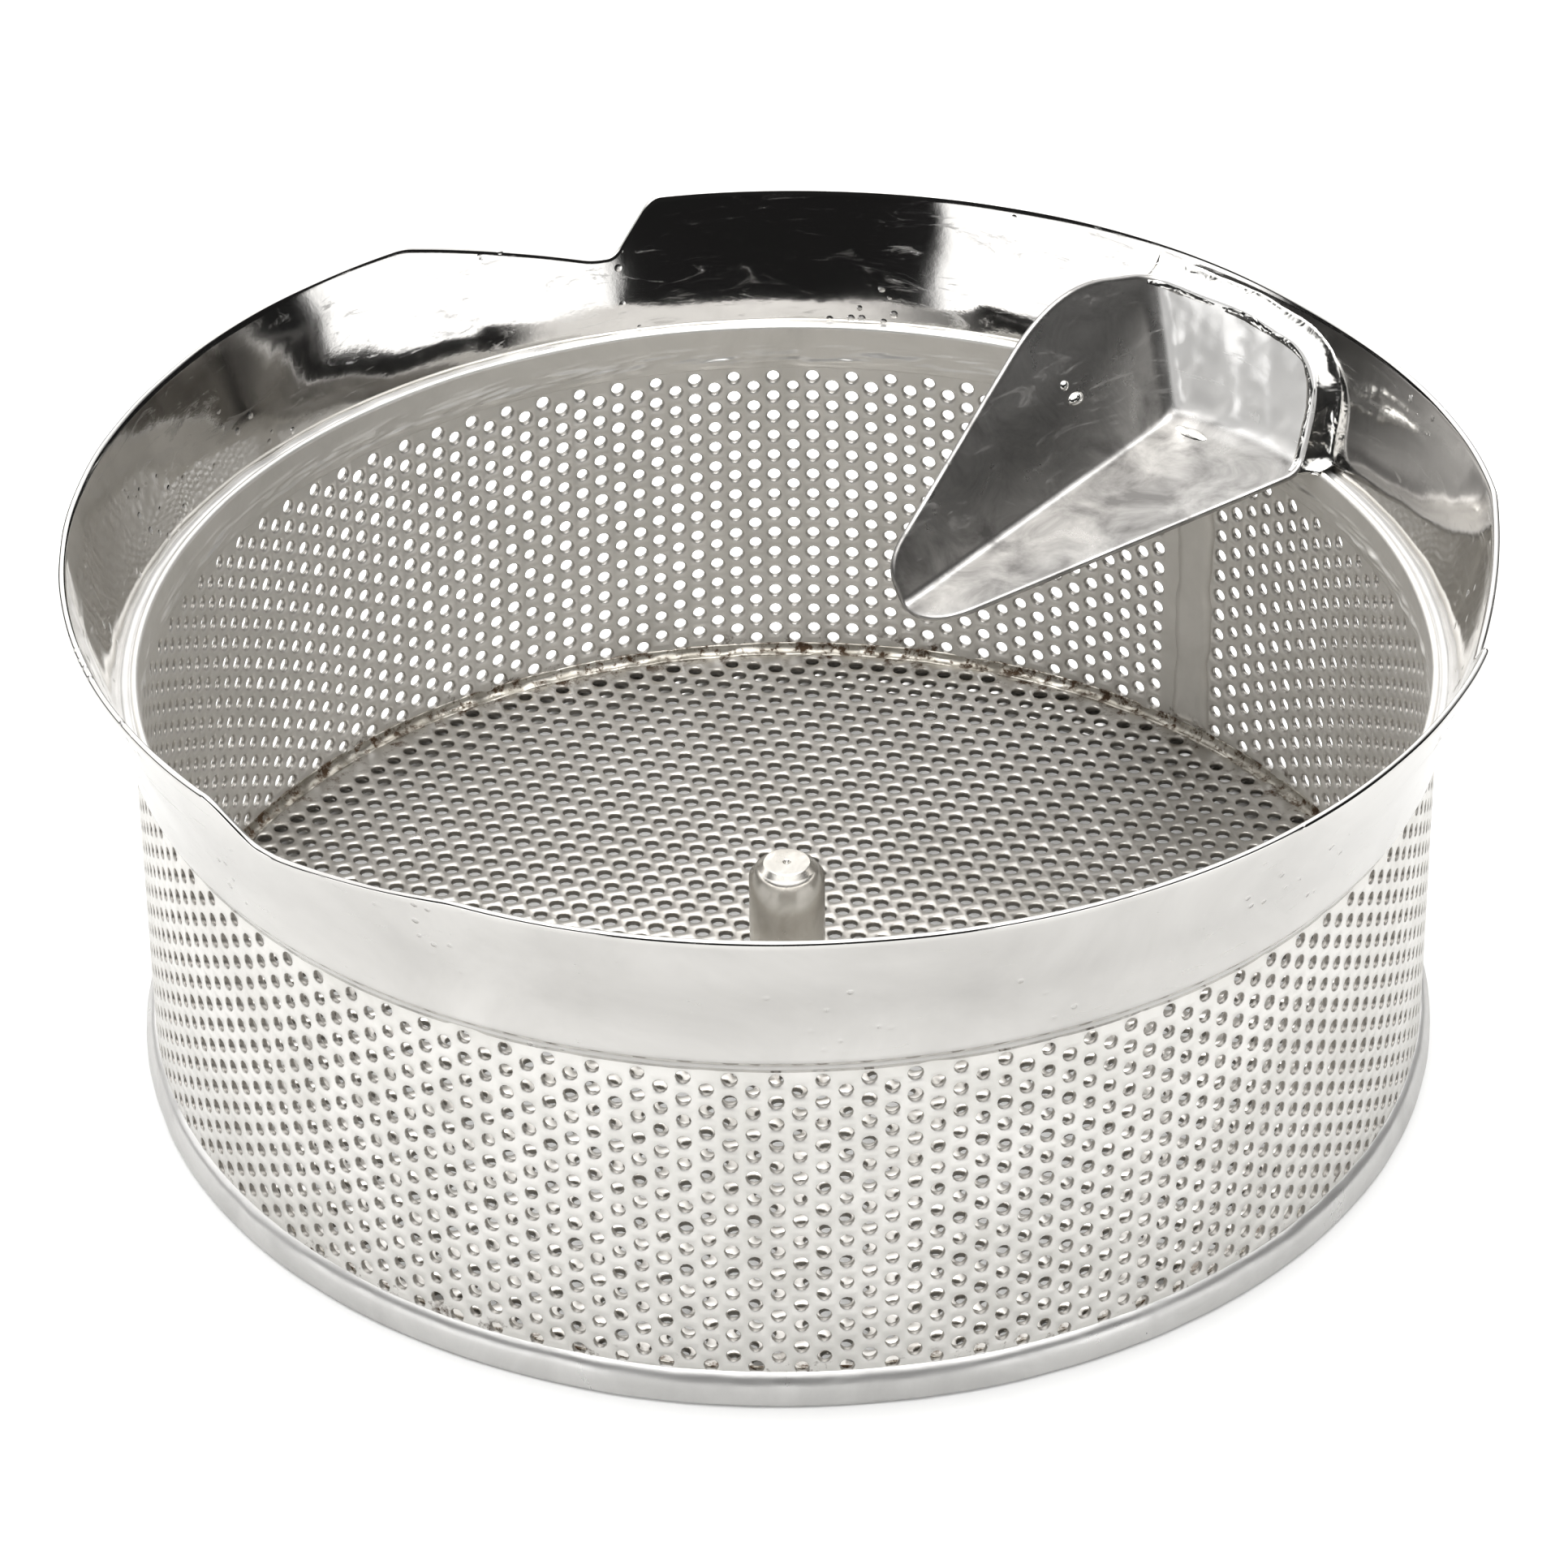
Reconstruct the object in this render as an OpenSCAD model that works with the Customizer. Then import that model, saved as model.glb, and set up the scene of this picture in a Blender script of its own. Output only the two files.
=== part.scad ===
// Sieve insert of a hand-cranked food mill: a round perforated basket of hot-tinned sheet
// steel with a flared bayonet collar, a soldered deflector and a centre pin.
// Millimetres. The origin is on the resting plane at the basket's axis, +Z points up.
// The sheet's small holes are too many for the solid model, so both sheets are plain here.

/* [Side wall] */
// Outer diameter of the rolled wall
wall_d = 184; // [150:1:230]
// Height of the wall's top edge above the resting plane
wall_h = 62.4; // [50:0.1:90]
// Thickness of the tinned sheet steel
sheet_t = 1; // [0.7:0.05:1.4]
// Radius that rounds the band's heel
heel_r = 1.5; // [0.8:0.1:3]
// How far the band at the foot stands out from the wall
band_out = 1.5; // [0.5:0.1:2.5]
// Height of the band's upper edge above the resting plane
band_h = 5.2; // [4:0.1:8]
// Height over which the band runs out into the wall
band_slope = 2.2; // [0.5:0.1:3]
// Width of the hem that the wall turns in under the base
hem_w = 8; // [5:0.5:14]
// Width of the lap seam inside the wall
seam_w = 6; // [4:0.5:10]
// Direction of the lap seam, in degrees from +X
seam_at = 46.5; // [40:0.5:52]
// Distance of the seam's upper end below the wall's top edge
seam_drop = 6; // [3:0.5:12]

/* [Base disc] */
// Gap between the disc's turned-down edge and the wall
base_gap = 0.1; // [0.05:0.05:0.4]
// Leg of the solder fillet between disc and wall
base_fillet = 1.3; // [0.8:0.1:2]

/* [Centre pin] */
// Diameter of the pin that the mill's rotor turns on
pin_d = 9.6; // [6:0.1:14]
// Length of the pin above the disc
pin_len = 21.5; // [12:0.1:35]
// Width of the chamfer round the pin's top
pin_chamfer_w = 1.4; // [0.5:0.1:2]
// Height of the chamfer round the pin's top
pin_chamfer_h = 1.2; // [0.5:0.1:2]
// Diameter of the lathe-centre dimple in the pin's top
dimple_d = 1.6; // [1:0.1:2.5]
// Diameter of the riveted shank
shank_d = 7; // [4:0.1:9]
// Gap round the shank in the disc and the washer
shank_gap = 0.05; // [0.02:0.01:0.2]
// Outer diameter of the backing washer
washer_d = 20; // [14:0.5:30]
// Thickness of the backing washer
washer_t = 1; // [0.8:0.1:1.2]
// Diameter of the riveted head under the washer
head_d = 11; // [8:0.5:13]
// Height of the riveted head
head_h = 1.2; // [0.8:0.1:2]
// Clearance between the riveted head and the resting plane
head_clear = 0.5; // [0.3:0.1:2]

/* [Collar] */
// How far the flared rim stands out from the wall
rim_out = 9; // [5:0.1:16]
// Height of the rim above the wall's top edge
rim_up = 18.8; // [14:0.1:26]
// Length of the collar's skirt below the wall's top edge
skirt_len = 5.7; // [4:0.1:14]
// Height of the flare's bend above the wall's top edge
bend_up = 1.3; // [0.5:0.1:4]
// How far the skirt leans out between its foot and the bend
skirt_lean = 1.5; // [0.5:0.1:3]
// Gap between the skirt's foot and the wall
skirt_gap = 0.1; // [0.05:0.05:0.4]
// Leg of the solder fillet under the skirt
skirt_fillet = 0.9; // [0.5:0.1:1.2]

/* [Bayonet ramps] */
// Depths of the ramps below the rim, one for each ramp
ramp_depths = [8, 7, 5.2]; // [4:0.1:10]
// Direction of the first ramp's middle, in degrees from +X
ramp_at = 113; // [108:1:118]
// Length of a ramp along the rim
ramp_len = 41; // [30:1:50]
// Length of the steep end along the rim
ramp_steep = 6.5; // [3:0.5:10]
// Length of the level foot between ramp and steep end
ramp_foot = 4; // [2:0.5:8]
// Radius that eases the top of the long slope
ramp_ease = 30; // [10:1:40]
// Radius that eases the foot and the steep end
ramp_round = 2.2; // [1:0.1:4]

/* [Deflector] */
// Thickness of the deflector's sheet
wing_t = 1; // [0.8:0.1:1.2]
// Direction of the foot of the deflector's inner bend, in degrees from +X
wing_foot_at = 48.5; // [46:0.1:51]
// Height of that foot below the wall's top edge
wing_foot_drop = 2.4; // [1.5:0.1:4]
// Distance from the wall's inner face to the middle of the sheet at that foot
wing_stand_off = 2.6; // [1.8:0.1:4]
// Direction of the top of the inner bend, in degrees from +X
wing_top_at = 54.3; // [52:0.1:56]
// Height of the top of the inner bend below the rim
wing_top_drop = 3.2; // [1.5:0.1:6]
// Clearance between the top of the raised face and the collar
wing_top_clear = 2.5; // [0.5:0.1:4]
// Direction of the deflector's low corner, in degrees from +X
wing_low_at = 31.2; // [29:0.1:36]
// Height of that corner below the wall's top edge
wing_low_drop = 0.3; // [0:0.1:2]
// Direction in which the deflector's tip lies, in degrees from +X
wing_tip_at = 57.5; // [54:0.1:60]
// Distance of the deflector's tip from the axis
wing_tip_r = 33; // [28:0.5:40]
// Height of the tip below the wall's top edge
wing_tip_drop = 11.5; // [8:0.5:16]
// Width of the raised face at the tip
wing_tip_up = 6.6; // [4:0.2:9]
// Width of the low face at the tip
wing_tip_low = 8; // [4:0.2:10]
// Setback of the tip's outer corners along the crease
wing_tip_back = 1; // [0.5:0.1:3]
// Distance of the free upper corner back from the foot, along the crease
wing_corner_back = 7.5; // [3:0.5:14]
// Height of the free upper corner above the crease
wing_corner_rise = 25.4; // [18:0.2:28]
// Bow of the low face's free edge
wing_bow = 0.5; // [0.3:0.1:4]
// Radius of the free upper corner
wing_corner_round = 12; // [4:0.5:14]
// Radius of the rounded tip
wing_tip_round = 4; // [2:0.5:5]
// Radius of the tab's far corner
tab_round = 17; // [8:0.5:17]
// Gap between the deflector and the sheets it is soldered to
wing_gap = 0.1; // [0.05:0.05:0.3]
// Width of the tin fillet round the tab
tab_fillet = 1.3; // [0.8:0.1:2]
// Diameter of the tin drops on the deflector
drop_d = 2.4; // [1.5:0.1:4]

/* [Hidden] */
$fn = 96;
corner_steps = 6;
wall_r = wall_d / 2;
wall_in = wall_r - sheet_t;
rim_d = wall_d + 2 * rim_out;
rim_h = wall_h + rim_up;
base_top = head_clear + head_h + washer_t + sheet_t;
disc_r = wall_in - base_gap;
disc_under = base_top - sheet_t;
bore_r = shank_d / 2 + shank_gap;
pin_top = base_top + pin_len;
seam_clear = 0.3;
seam_bite = 0.2;
seam_foot = base_top + base_fillet + seam_clear;
seam_top = wall_h - seam_drop;
band_r = wall_r + band_out;
lip_foot = sheet_t + base_gap;

ramps = len(ramp_depths);

// The collar's inner face: skirt foot, bend and rim, as [radius, height]
skirt_z = wall_h - skirt_len;
skirt_in = wall_r + skirt_gap;
bend_in = skirt_in + skirt_lean;
bend_z = wall_h + bend_up;
lean = atan2(skirt_lean, bend_z - skirt_z);
flare = atan2(rim_d / 2 - sheet_t - bend_in, rim_h - bend_z);
rim_in = rim_d / 2 - sheet_t / cos(flare);
bend_out = [bend_in, bend_z]
    + sheet_t * [cos(lean) + cos(flare), -sin(lean) - sin(flare)] / (1 + cos(flare - lean));
function collar_in(z) = z < bend_z
    ? skirt_in + skirt_lean * (z - skirt_z) / (bend_z - skirt_z)
    : bend_in + (rim_in - bend_in) * (z - bend_z) / (rim_h - bend_z);

// The deflector's four driving points: tip, foot and top of the inner bend, low corner
function around(r, at, z) = [r * cos(at), r * sin(at), z];
wing_foot_r = wall_in - wing_stand_off;
wing_foot_z = wall_h - wing_foot_drop;
wing_top_z = rim_h - wing_top_drop;
wing_top_r = collar_in(wing_top_z) - wing_gap - wing_t / 2 / cos(flare)
    - wing_top_clear;
wing_tip = around(wing_tip_r, wing_tip_at, wall_h - wing_tip_drop);
wing_foot = around(wing_foot_r, wing_foot_at, wing_foot_z);
wing_top = around(wing_top_r, wing_top_at, wing_top_z);
wing_low = around(wing_foot_r, wing_low_at, wall_h - wing_low_drop);
tab_foot_z = wing_foot_z - 2 * wing_t;
crease = norm(wing_foot - wing_tip);
tab_mid_at = (wing_top_at + wing_low_at) / 2;
tab_half = wing_foot_r * sin((wing_top_at - wing_low_at) / 2);
foot_bow = wing_foot_r * (1 - cos((wing_foot_at - wing_low_at) / 2));
slice_over = 5;
tip_nose = 0.5;
tin_clear = 0.05;
tab_bite = wing_t / 5;
cut_over = 0.06;
bend_d = wing_t * 1.16;
knuckle_d = bend_d * 1.05;
ample = 20;

// Places of the tin drops, along the crease from the tip and away from it
drop_h = 0.9;
low_drop_d = drop_d * 0.8;
raised_drops = [[crease - 14.9, 13.4], [crease - 14.6, 11.2]];
low_drops = [[crease - 2.5, 6.5], [crease - 1.5, 12.5]];

function unit(v) = v / norm(v);

// A driving point's place in the plane of its face: along the crease, and away from it
function in_wing(p) =
    let (along = (p - wing_tip) * unit(wing_foot - wing_tip))
    [along, sqrt(pow(norm(p - wing_tip), 2) - pow(along, 2))];

// Points of a corner at b, between a and c, eased by an arc of radius r
function eased_corner(a, b, c, r) =
    let (u = unit(a - b), v = unit(c - b), half = acos(u * v) / 2)
    let (centre = b + unit(u + v) * r / sin(half), from = b + u * r / tan(half) - centre)
    let (turn = (u.x * v.y - u.y * v.x > 0 ? -1 : 1) * (180 - 2 * half))
    [for (i = [0 : corner_steps]) let (w = turn * i / corner_steps)
        centre + [from.x * cos(w) - from.y * sin(w), from.x * sin(w) + from.y * cos(w)]];

// An outline whose corners are eased by the radii given for them, 0 for a sharp one
function eased(points, radii) = let (n = len(points))
    [for (i = [0 : n - 1]) each radii[i] == 0 ? [points[i]]
        : eased_corner(points[(i + n - 1) % n], points[i], points[(i + 1) % n], radii[i])];

// Points of an arc from a to b that bows out by the given height to the right of the way
function bowed(a, b, bow) =
    let (half = norm(b - a) / 2, r = (half * half + bow * bow) / (2 * bow), open = asin(half / r))
    let (along = unit(b - a), out = [along.y, -along.x], centre = (a + b) / 2 - out * (r - bow))
    [for (i = [0 : 8]) let (w = open * (i / 4 - 1)) centre + r * (along * sin(w) + out * cos(w))];

// The plane through three points: origin at o, X towards x_to, Y on the side of y_to
module on_plane(o, x_to, y_to) {
    x = unit(x_to - o);
    z = unit(cross(x, y_to - o));
    y = cross(z, x);
    multmatrix([[x.x, y.x, z.x, o.x], [x.y, y.y, z.y, o.y], [x.z, y.z, z.z, o.z], [0, 0, 0, 1]])
        children();
}

module flat_sheet(outline, t) {
    translate([0, 0, -t / 2])
        linear_extrude(t) polygon(outline);
}

// An outline drawn clockwise along the rim (X) and up (Y), driven in through the collar
module through_collar(at, outline) {
    rotate([0, 0, at - 90])
        translate([0, rim_d / 2 + ample, 0])
            rotate([90, 0, 0])
                linear_extrude(rim_d / 2) polygon(outline);
}

// The rolled wall: a band and a hem at the foot, a lap seam inside
module side_wall() {
    heel = [for (i = [0 : corner_steps]) 90 * i / corner_steps];
    profile = concat(
        [[wall_in, wall_h], [wall_r, wall_h], [wall_r, band_h], [band_r, band_h - band_slope]],
        [for (w = heel) [band_r - heel_r + heel_r * cos(w), heel_r - heel_r * sin(w)]],
        [[wall_r - hem_w, 0], [wall_r - hem_w, sheet_t], [wall_in, sheet_t]]);
    color("gainsboro") {
        rotate_extrude() polygon(profile);
        rotate([0, 0, seam_at - seam_w / 2 / wall_in * 180 / PI])
            rotate_extrude(angle = seam_w / wall_in * 180 / PI)
                translate([wall_in - sheet_t, seam_foot])
                    square([sheet_t + seam_bite, seam_top - seam_foot]);
    }
}

// The base disc: a flat sheet with its edge turned down onto the hem, and a bore for the pin
module base_disc() {
    color("silver") rotate_extrude() polygon([
        [bore_r, disc_under], [bore_r, base_top], [disc_r, base_top], [disc_r, lip_foot],
        [disc_r - sheet_t, lip_foot], [disc_r - sheet_t, disc_under]]);
}

// One bayonet cut: a long ramp, a level foot and a steep end, going clockwise
module ramp_cut(at, depth) {
    left = -ramp_len / 2;
    right = ramp_len / 2;
    foot = rim_h - depth;
    over = rim_h + cut_over;
    outline = eased(
        [[left - ample, rim_h + ample], [left - ample, over], [left, over],
         [right - ramp_steep - ramp_foot, foot], [right - ramp_steep, foot], [right, over],
         [right + ample / 2, over], [right + ample / 2, rim_h + ample]],
        [0, 0, ramp_ease, ramp_ease / 3, ramp_round, ramp_round, 0, 0]);
    through_collar(at, outline);
}

// The collar: a skirt soldered outside the wall, a bend and a flare with bayonet ramps
module rim_flange() {
    color("whitesmoke") difference() {
        rotate_extrude() polygon([
            [skirt_in, skirt_z], [skirt_in + sheet_t / cos(lean), skirt_z], bend_out,
            [rim_d / 2, rim_h], [rim_in, rim_h], [bend_in, bend_z]]);
        for (i = [0 : ramps - 1])
            ramp_cut(ramp_at - i * 360 / ramps, ramp_depths[i]);
    }
}

// The tab's outline along the rim and up, grown all round by the given width
function tab_outline(grow) = eased(
    [[-tab_half - ample, tab_foot_z - wing_t], [-tab_half - ample, wing_top_z + grow],
     [tab_half + grow, wing_top_z + grow], [tab_half + grow, tab_foot_z - wing_t]],
    [0, 0, tab_round + grow, 0]);

// A slice of the space in front of the collar, between two lines of [radius, height] points
module collar_slice(line) {
    rotate([0, 0, wing_low_at - slice_over])
        rotate_extrude(angle = wing_top_at - wing_low_at + 2 * slice_over) polygon(line);
}

// Radius of the middle of the tab's sheet at a height
function tab_r(z) = wing_foot_r
    + (wing_top_r - wing_foot_r) * (z - wing_foot_z) / (wing_top_z - wing_foot_z);

// The sheet that lies along the collar, thickened by the given amount
module tab_shell(extra) {
    half = (wing_t / 2 + extra) / cos(flare);
    over = wing_top_z + tab_fillet;
    collar_slice([[wing_foot_r - half, tab_foot_z], [wing_foot_r + half, tab_foot_z],
                  [wing_foot_r + half, wing_foot_z], [tab_r(over) + half, over],
                  [tab_r(over) - half, over], [wing_foot_r - half, wing_foot_z]]);
}

// Everything on the tab's side of the raised face, from the given height above its middle
module tab_side(from) {
    on_plane(wing_tip, wing_foot, wing_top)
        translate([-ample, -rim_d / 2, from]) cube([rim_d, rim_d, rim_d]);
}

// Everything above the given depth below the low face's middle
module over_low_face(depth) {
    on_plane(wing_tip, wing_foot, wing_low)
        translate([-ample, -rim_d / 2, depth - rim_d]) cube([rim_d, rim_d, rim_d]);
}

// A round bend of the sheet along the first axis of a plane, from its origin
module bend_rod(length) {
    rotate([0, 90, 0]) cylinder(d = bend_d, h = length);
}

// The deflector: one sheet with a raised face, a low face and a tab along the collar
module deflector() {
    top_at = in_wing(wing_top);
    low_at = in_wing(wing_low);
    raised = eased(
        [[0, 0], [wing_tip_back, wing_tip_up], [crease - wing_corner_back, wing_corner_rise], top_at,
         [crease, 0]],
        [0, wing_tip_round, wing_corner_round, 0, 0]);
    low = concat(
        [[0, 0], [-tip_nose, wing_tip_low / 2]],
        bowed([2 * wing_tip_back, wing_tip_low], low_at, -wing_bow),
        bowed(low_at, [crease, 0], -foot_bow));
    color("darkgray") {
        on_plane(wing_tip, wing_foot, wing_top) {
            flat_sheet(raised, wing_t);
            bend_rod(crease);
        }
        on_plane(wing_tip, wing_foot, wing_low) flat_sheet(low, wing_t);
        on_plane(wing_foot, wing_top, wing_tip) bend_rod(norm(wing_top - wing_foot));
        intersection() {
            tab_shell(0);
            through_collar(tab_mid_at, tab_outline(0));
            tab_side(-tab_bite);
            over_low_face(tab_bite);
        }
        translate(wing_foot) sphere(d = knuckle_d, $fn = 24);
    }
}

// The tin behind the tab and in a fillet round its edge
module deflector_solder() {
    low = wall_h + tin_clear;
    high = wing_top_z + tab_fillet;
    color("whitesmoke") difference() {
        intersection() {
            collar_slice([[tab_r(low), low], [collar_in(low) - tin_clear, low],
                          [collar_in(bend_z) - tin_clear, bend_z],
                          [collar_in(high) - tin_clear, high], [tab_r(high), high]]);
            through_collar(tab_mid_at, tab_outline(tab_fillet));
            tab_side(wing_t / 2 + tin_clear);
        }
        intersection() {
            tab_shell(tin_clear);
            through_collar(tab_mid_at, tab_outline(tin_clear));
        }
    }
}

// A low drop of tin standing on a face
module tin_drop(d) {
    rotate_extrude() polygon(concat(
        [[0, 0]], [for (w = [0 : 15 : 90]) [d / 2 * cos(w), drop_h * sin(w)]]));
}

// Drops of tin left on the deflector's two faces by the dip
module deflector_tin_drops() {
    color("whitesmoke") {
        on_plane(wing_tip, wing_foot, wing_top) for (p = raised_drops)
            translate([p.x, p.y, wing_t / 2]) tin_drop(drop_d);
        on_plane(wing_tip, wing_foot, wing_low) for (p = low_drops)
            translate([p.x, p.y, -wing_t / 2]) mirror([0, 0, 1]) tin_drop(low_drop_d);
    }
}

// The centre pin: chamfered and dimpled on top, its shank riveted over under the washer
module pivot_pin() {
    under = disc_under - washer_t;
    color("silver") difference() {
        rotate_extrude() polygon([
            [0, pin_top], [pin_d / 2 - pin_chamfer_w, pin_top], [pin_d / 2, pin_top - pin_chamfer_h],
            [pin_d / 2, base_top], [shank_d / 2, base_top], [shank_d / 2, under],
            [head_d / 2, under], [head_d / 2 - head_h, under - head_h], [0, under - head_h]]);
        translate([0, 0, pin_top]) sphere(d = dimple_d, $fn = 24);
    }
}

// The backing washer under the disc
module pin_washer() {
    color("silver") translate([0, 0, disc_under - washer_t]) difference() {
        cylinder(d = washer_d, h = washer_t);
        translate([0, 0, -1]) cylinder(r = bore_r, h = washer_t + 2);
    }
}

// The ring of tin in the corner between the disc and the wall
module base_solder() {
    color("lightgray") rotate_extrude() polygon([
        [wall_in, base_top], [wall_in, base_top + base_fillet], [wall_in - base_fillet, base_top]]);
}

// The ring of tin between the skirt's foot and the wall
module rim_solder() {
    color("lightgray") rotate_extrude() polygon([
        [wall_r, skirt_z], [skirt_in + sheet_t / cos(lean), skirt_z], [wall_r, skirt_z - skirt_fillet]]);
}

side_wall();
base_disc();
rim_flange();
deflector();
pivot_pin();
pin_washer();
base_solder();
rim_solder();
deflector_solder();
deflector_tin_drops();
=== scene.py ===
"""The looks of a food mill's sieve insert: a punched basket of hot-tinned sheet steel."""

import bpy
import numpy as np
from mathutils import Matrix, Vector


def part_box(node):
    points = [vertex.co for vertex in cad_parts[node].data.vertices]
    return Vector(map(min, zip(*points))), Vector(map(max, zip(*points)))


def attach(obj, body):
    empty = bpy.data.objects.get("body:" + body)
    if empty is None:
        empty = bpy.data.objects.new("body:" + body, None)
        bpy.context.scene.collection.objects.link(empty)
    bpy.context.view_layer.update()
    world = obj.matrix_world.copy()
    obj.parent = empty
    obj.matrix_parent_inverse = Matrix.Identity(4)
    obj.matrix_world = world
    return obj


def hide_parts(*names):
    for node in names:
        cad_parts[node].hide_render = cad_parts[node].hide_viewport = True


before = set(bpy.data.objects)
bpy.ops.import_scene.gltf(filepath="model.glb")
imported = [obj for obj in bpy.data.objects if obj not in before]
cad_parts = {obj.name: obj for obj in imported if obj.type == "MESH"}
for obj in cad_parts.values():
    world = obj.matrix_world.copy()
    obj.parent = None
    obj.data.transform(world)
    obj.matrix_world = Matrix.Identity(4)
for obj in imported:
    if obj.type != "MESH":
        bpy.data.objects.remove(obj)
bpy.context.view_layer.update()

MM = 0.001
DEG = np.pi / 180
TURN = 2 * np.pi


def box_mm(node):
    """A node's lowest and highest corners in millimetres."""
    low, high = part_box(node)
    return np.array(low) / MM, np.array(high) / MM


WALL_TOP = box_mm("side_wall")[1][2]
BAND_R = box_mm("side_wall")[1][0]
SKIRT_Z, RIM_H = box_mm("rim_flange")[0][2], box_mm("rim_flange")[1][2]
RIM_R = -box_mm("rim_flange")[0][0]
BASE_TOP = box_mm("base_disc")[1][2]
PIN_R, PIN_TOP = box_mm("pivot_pin")[1][0], box_mm("pivot_pin")[1][2]
# Sizes in millimetres: the sheet's thickness and half of it, the wall's outer and inner radius,
# the pitch of the holes, the distance between columns of holes and a hole's radius
SHEET = 1.0
HALF_SHEET = SHEET / 2
WALL_R = 92.0
WALL_IN = WALL_R - SHEET
PITCH = 3.513
COLUMN = PITCH * np.sqrt(3) / 2
HOLE_R = 0.98
# The lap seam: its direction and half of the plain strip along it, in degrees
SEAM_AT = 46.5
SEAM_BLANK = 2.8
# Points round the axis in the rings of tin and in the foot band
RING_AROUND = 960


# Shapes -------------------------------------------------------------------------------


def make_piece(name, points, faces, material, nodes):
    """A smooth mesh from points in millimetres and arrays of triangles or quads. It rides on
    root and stands for the CAD nodes it names."""
    mesh = bpy.data.meshes.new(name)
    mesh.vertices.add(len(points))
    mesh.vertices.foreach_set("co", (np.asarray(points) * MM).astype(np.float32).ravel())
    sizes = np.concatenate([np.full(len(f), f.shape[1]) for f in faces])
    mesh.loops.add(int(sizes.sum()))
    mesh.loops.foreach_set("vertex_index", np.concatenate([f.ravel() for f in faces]).astype(np.int32))
    mesh.polygons.add(len(sizes))
    mesh.polygons.foreach_set("loop_start", (np.cumsum(sizes) - sizes).astype(np.int32))
    mesh.update(calc_edges=True)
    mesh.polygons.foreach_set("use_smooth", np.ones(len(sizes), bool))
    mesh.materials.append(material)
    piece = bpy.data.objects.new(name, mesh)
    bpy.context.scene.collection.objects.link(piece)
    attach(piece, "root")
    if nodes:
        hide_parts(*nodes)
    return piece


def grid_faces(rows, cols, wrap_rows, wrap_cols):
    """Quads of a grid of points, its last row or column joined to the first where it wraps."""
    r = np.arange(rows if wrap_rows else rows - 1)[:, None]
    c = np.arange(cols if wrap_cols else cols - 1)[None, :]
    r2, c2 = (r + 1) % rows, (c + 1) % cols
    return np.stack([r * cols + c, r * cols + c2, r2 * cols + c2, r2 * cols + c], -1).reshape(-1, 4)


def poled(rings, first, last):
    """Rings of points closed by a pole at each end: the points and their faces."""
    rows, cols = rings.shape[:2]
    points = np.vstack([rings.reshape(-1, 3), [first], [last]])
    c = np.arange(cols)
    c2 = (c + 1) % cols
    end = (rows - 1) * cols
    fan_a = np.stack([np.full(cols, rows * cols), c2, c], 1)
    fan_b = np.stack([np.full(cols, rows * cols + 1), end + c, end + c2], 1)
    return points, [grid_faces(rows, cols, False, True), fan_a, fan_b]


def turned(profile, count):
    """A profile of (radius, height) points carried round the axis, one ring for each point."""
    angle = np.arange(count) * TURN / count
    r, z = np.asarray(profile, float).T
    return np.stack([r[:, None] * np.cos(angle), r[:, None] * np.sin(angle),
                     np.broadcast_to(z[:, None], (len(r), count))], -1)


def waves(points, size, seed, count=14):
    """Smooth unevenness from -1 to 1: a sum of sine waves about `size` mm long, each in a
    direction of its own."""
    draw = np.random.default_rng(seed)
    way = draw.normal(size=(count, 3))
    way *= (TURN / size * draw.uniform(0.6, 1.6, count) / np.linalg.norm(way, axis=1))[:, None]
    phase = draw.uniform(0, TURN, count)
    return np.sin(points @ way.T + phase).sum(-1) / np.sqrt(count) / 1.6


def step_up(x, low, high):
    """0 below low, 1 above high and an even S between."""
    t = np.clip((x - low) / (high - low), 0, 1)
    return t * t * (3 - 2 * t)


def polar(x, y):
    """Distance from the axis, and direction in degrees from +X."""
    return np.hypot(x, y), np.arctan2(y, x) / DEG


# Which corner of a cell each part of the ring round a hole is joined to
RING = 12
RING_TO = np.array([0, 1, 1, 2, 2, 3, 3, 4, 4, 5, 5, 0])
CELL_TO = np.array([1, 3, 5, 7, 9, 11])


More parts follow.
